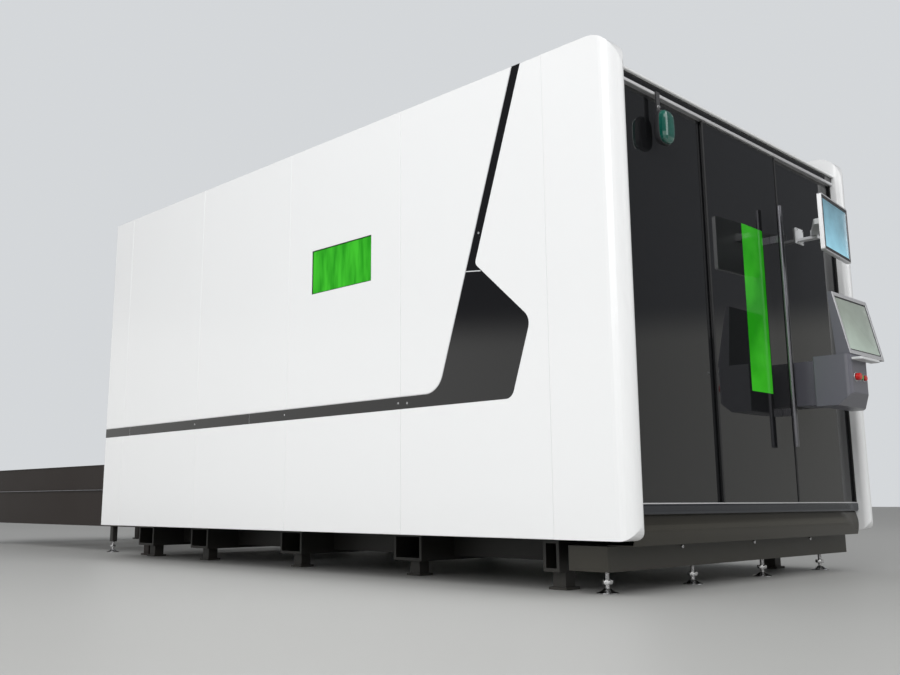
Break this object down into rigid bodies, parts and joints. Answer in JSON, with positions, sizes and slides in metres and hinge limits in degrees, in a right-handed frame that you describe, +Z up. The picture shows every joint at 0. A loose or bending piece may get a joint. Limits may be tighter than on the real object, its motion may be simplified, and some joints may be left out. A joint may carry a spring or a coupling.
{
  "type": "fiber laser cutting machine",
  "caption": "Enclosed fiber laser cutting machine with white panelled housing, tinted sliding door, gantry and cutting head, operator console, and two-level pallet changer behind.",
  "frame": {"origin": "centre of the whole machine's box, on the floor under the feet", "axes": "+Z up, the operator's front faces -Y, the pallets leave towards +Y, +X is to the right seen from the front"},
  "size_m": [2.48, 8.0902, 2.45],
  "materials": {
    "white_enamel": "satin white enamel",
    "black_gloss": "high gloss black",
    "frame_black": "semi-matt black paint",
    "base_bronze": "glossy brown-black paint",
    "changer_paint": "matt dark umber paint",
    "tinted_glass": "dark tinted, highly reflective",
    "green_acrylic": "translucent laser-safe green, glossy",
    "brushed_aluminium": "fine brushed and anodised",
    "chromed_steel": "bright chrome",
    "console_grey": "fine textured grey powder coat",
    "light_plastic": "light grey, fine grain",
    "teal_lens": "glossy teal green lens",
    "machined_steel": "ground steel",
    "slat_steel": "mill-finish plate, heat stained",
    "bed_grey": "grey primer and paint",
    "red_plastic": "glossy red",
    "green_plastic": "glossy green",
    "dark_plastic": "matt black"
  },
  "bodies": {
    "machine": {"left_panel_1": "white_enamel", "left_panel_2": "white_enamel", "left_panel_3": "white_enamel", "left_panel_4": "white_enamel", "left_panel_5": "white_enamel", "left_panel_6": "white_enamel", "right_panel_1": "white_enamel", "right_panel_2": "white_enamel", "right_panel_3": "white_enamel", "header_trim": "white_enamel", "roof": "white_enamel", "rear_wall": "white_enamel", "left_inlay": "black_gloss", "header": "black_gloss", "base_frame": "frame_black", "housing_frame_left": "frame_black", "housing_frame_right": "frame_black", "sill": "base_bronze", "apron": "base_bronze", "changer_frame": "changer_paint", "glass_left": "tinted_glass", "glass_right": "tinted_glass", "left_window": "green_acrylic", "door_rail": "brushed_aluminium", "console_screen": "brushed_aluminium", "levelling_foot_1": "chromed_steel", "levelling_foot_2": "chromed_steel", "levelling_foot_3": "chromed_steel", "levelling_foot_4": "chromed_steel", "changer_foot_left": "chromed_steel", "changer_foot_right": "chromed_steel", "console_neck": "console_grey", "console_cabinet": "console_grey", "changer_drive": "console_grey", "keyboard_tray": "light_plastic", "monitor_bracket": "light_plastic", "signal_lamp": "teal_lens", "guide_rail_left": "machined_steel", "guide_rail_right": "machined_steel", "bed_side_left": "bed_grey", "bed_side_right": "bed_grey", "bed_front_beam": "bed_grey", "bed_rear_beam": "bed_grey", "lamp_bracket": "dark_plastic"},
    "door": {"sliding_door": "tinted_glass", "door_window": "green_acrylic", "door_handle": "brushed_aluminium"},
    "monitor_arm": {"monitor_arm": "light_plastic"},
    "monitor": {"upper_monitor": "light_plastic"},
    "gantry": {"gantry_beam": "brushed_aluminium", "saddle_left": "console_grey", "saddle_right": "console_grey"},
    "carriage": {"x_carriage": "console_grey"},
    "head": {"z_slide": "machined_steel", "cutting_head": "brushed_aluminium"},
    "pallet_a": {"pallet_upper": "slat_steel"},
    "pallet_b": {"pallet_lower": "slat_steel"},
    "emergency_stop": {"emergency_stop": "red_plastic"},
    "start_button": {"start_button": "green_plastic"},
    "stop_button": {"stop_button": "red_plastic"}
  },
  "joints": [
    {"name": "door_slide", "type": "slide", "parent": "machine", "child": "door", "axis": [-1, 0, 0], "range_m": [0, 0.72]},
    {"name": "monitor_swivel", "type": "hinge", "parent": "machine", "child": "monitor_arm", "pos_m": [0.662, -3.71115, 1.86], "axis": [0, 0, 1], "range_deg": [-15, 45]},
    {"name": "monitor_tilt", "type": "hinge", "parent": "monitor_arm", "child": "monitor", "pos_m": [0.44175, -3.87675, 1.86], "axis": [0.9954, 0.0958, 0], "range_deg": [-12, 12]},
    {"name": "gantry_travel", "type": "slide", "parent": "machine", "child": "gantry", "axis": [0, 1, 0], "range_m": [0, 3.1]},
    {"name": "carriage_travel", "type": "slide", "parent": "gantry", "child": "carriage", "axis": [1, 0, 0], "range_m": [-0.62, 0.62]},
    {"name": "head_lift", "type": "slide", "parent": "carriage", "child": "head", "axis": [0, 0, 1], "range_m": [-0.045, 0.12]},
    {"name": "pallet_exchange", "type": "slide", "parent": "machine", "child": "pallet_a", "axis": [0, 1, 0], "range_m": [0, 3.78]},
    {"name": "pallet_return", "type": "slide", "parent": "machine", "child": "pallet_b", "axis": [0, 1, 0], "range_m": [-3.78, 0]},
    {"name": "emergency_stop_press", "type": "slide", "parent": "machine", "child": "emergency_stop", "axis": [0, 1, 0], "range_m": [0, 0.005], "stiffness_N_per_m": 400},
    {"name": "start_press", "type": "slide", "parent": "machine", "child": "start_button", "axis": [0, 1, 0], "range_m": [0, 0.005], "stiffness_N_per_m": 400},
    {"name": "stop_press", "type": "slide", "parent": "machine", "child": "stop_button", "axis": [0, 1, 0], "range_m": [0, 0.005], "stiffness_N_per_m": 400}
  ],
  "couplings": [
    {"joint": "pallet_return", "follows": "pallet_exchange", "ratio": -1}
  ]
}
